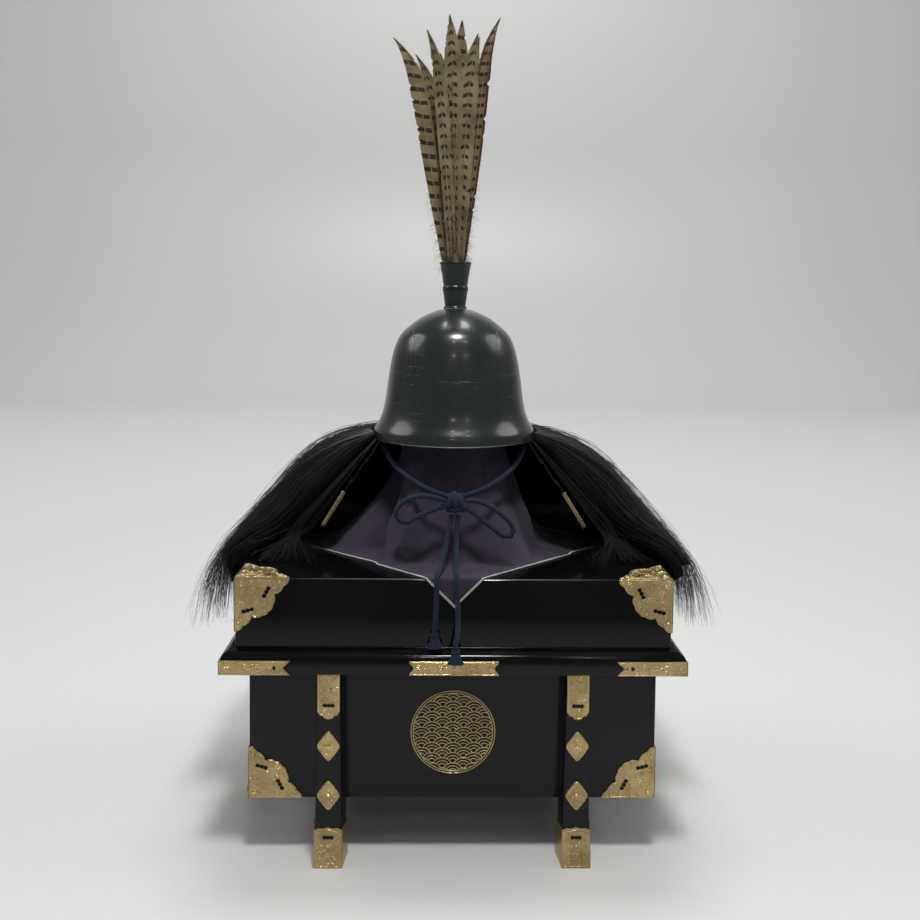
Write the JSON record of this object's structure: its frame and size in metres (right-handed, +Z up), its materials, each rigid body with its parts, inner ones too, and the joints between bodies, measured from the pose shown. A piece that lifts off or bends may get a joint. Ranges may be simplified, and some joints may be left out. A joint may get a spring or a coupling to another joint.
{
  "type": "kabuto samurai helmet on its armour chest",
  "caption": "Samurai helmet with a smooth lacquered bowl, pheasant feather plume and black hair over the neck guard, on a cloth-covered stand on its six-legged lacquered armour chest.",
  "frame": {"origin": "on the floor, in the middle of the outline of the chest and the hair", "axes": "+Z up, the front of the helmet faces -Y, +X to the right seen from the front"},
  "size_m": [0.8048, 0.5746, 1.2842],
  "materials": {
    "black_lacquer": "gloss",
    "grey_lacquer": "gloss",
    "gilt_metal": "satin",
    "socket_metal": "satin",
    "pheasant_feather": "matte",
    "black_hair": "matte",
    "stand_wood": "matte",
    "purple_cloth": "matte",
    "navy_cord": "matte"
  },
  "bodies": {
    "root": {"chest_body": "black_lacquer", "chest_lid": "black_lacquer", "leg_front_left": "black_lacquer", "shoe_front_left": "gilt_metal", "leg_cap_front_left": "gilt_metal", "leg_front_right": "black_lacquer", "shoe_front_right": "gilt_metal", "leg_cap_front_right": "gilt_metal", "leg_right": "black_lacquer", "shoe_right": "gilt_metal", "leg_cap_right": "gilt_metal", "leg_back_right": "black_lacquer", "shoe_back_right": "gilt_metal", "leg_cap_back_right": "gilt_metal", "leg_back_left": "black_lacquer", "shoe_back_left": "gilt_metal", "leg_cap_back_left": "gilt_metal", "leg_left": "black_lacquer", "shoe_left": "gilt_metal", "leg_cap_left": "gilt_metal", "lid_corner_front_left": "gilt_metal", "body_corner_front_left": "gilt_metal", "flange_corner_front_left": "gilt_metal", "lid_corner_back_left": "gilt_metal", "body_corner_back_left": "gilt_metal", "flange_corner_back_left": "gilt_metal", "lid_corner_front_right": "gilt_metal", "body_corner_front_right": "gilt_metal", "flange_corner_front_right": "gilt_metal", "lid_corner_back_right": "gilt_metal", "body_corner_back_right": "gilt_metal", "flange_corner_back_right": "gilt_metal", "flange_plate_front": "gilt_metal", "flange_plate_back": "gilt_metal", "bowl": "grey_lacquer", "socket_base": "socket_metal", "socket_cup": "socket_metal", "plume": "pheasant_feather", "neck_lame_1": "black_lacquer", "neck_lame_2": "black_lacquer", "neck_lame_3": "black_lacquer", "neck_lame_4": "black_lacquer", "neck_edge_left": "gilt_metal", "neck_edge_right": "gilt_metal", "hair_cape": "black_hair", "stand": "stand_wood", "stand_cloth": "purple_cloth", "chin_cord_left": "navy_cord", "chin_cord_right": "navy_cord", "bow_knot": "navy_cord", "bow_loop_left": "navy_cord", "bow_loop_right": "navy_cord", "cord_tail_left": "navy_cord", "cord_tail_right": "navy_cord", "tassel_left": "navy_cord", "tassel_right": "navy_cord"}
  },
  "joints": []
}
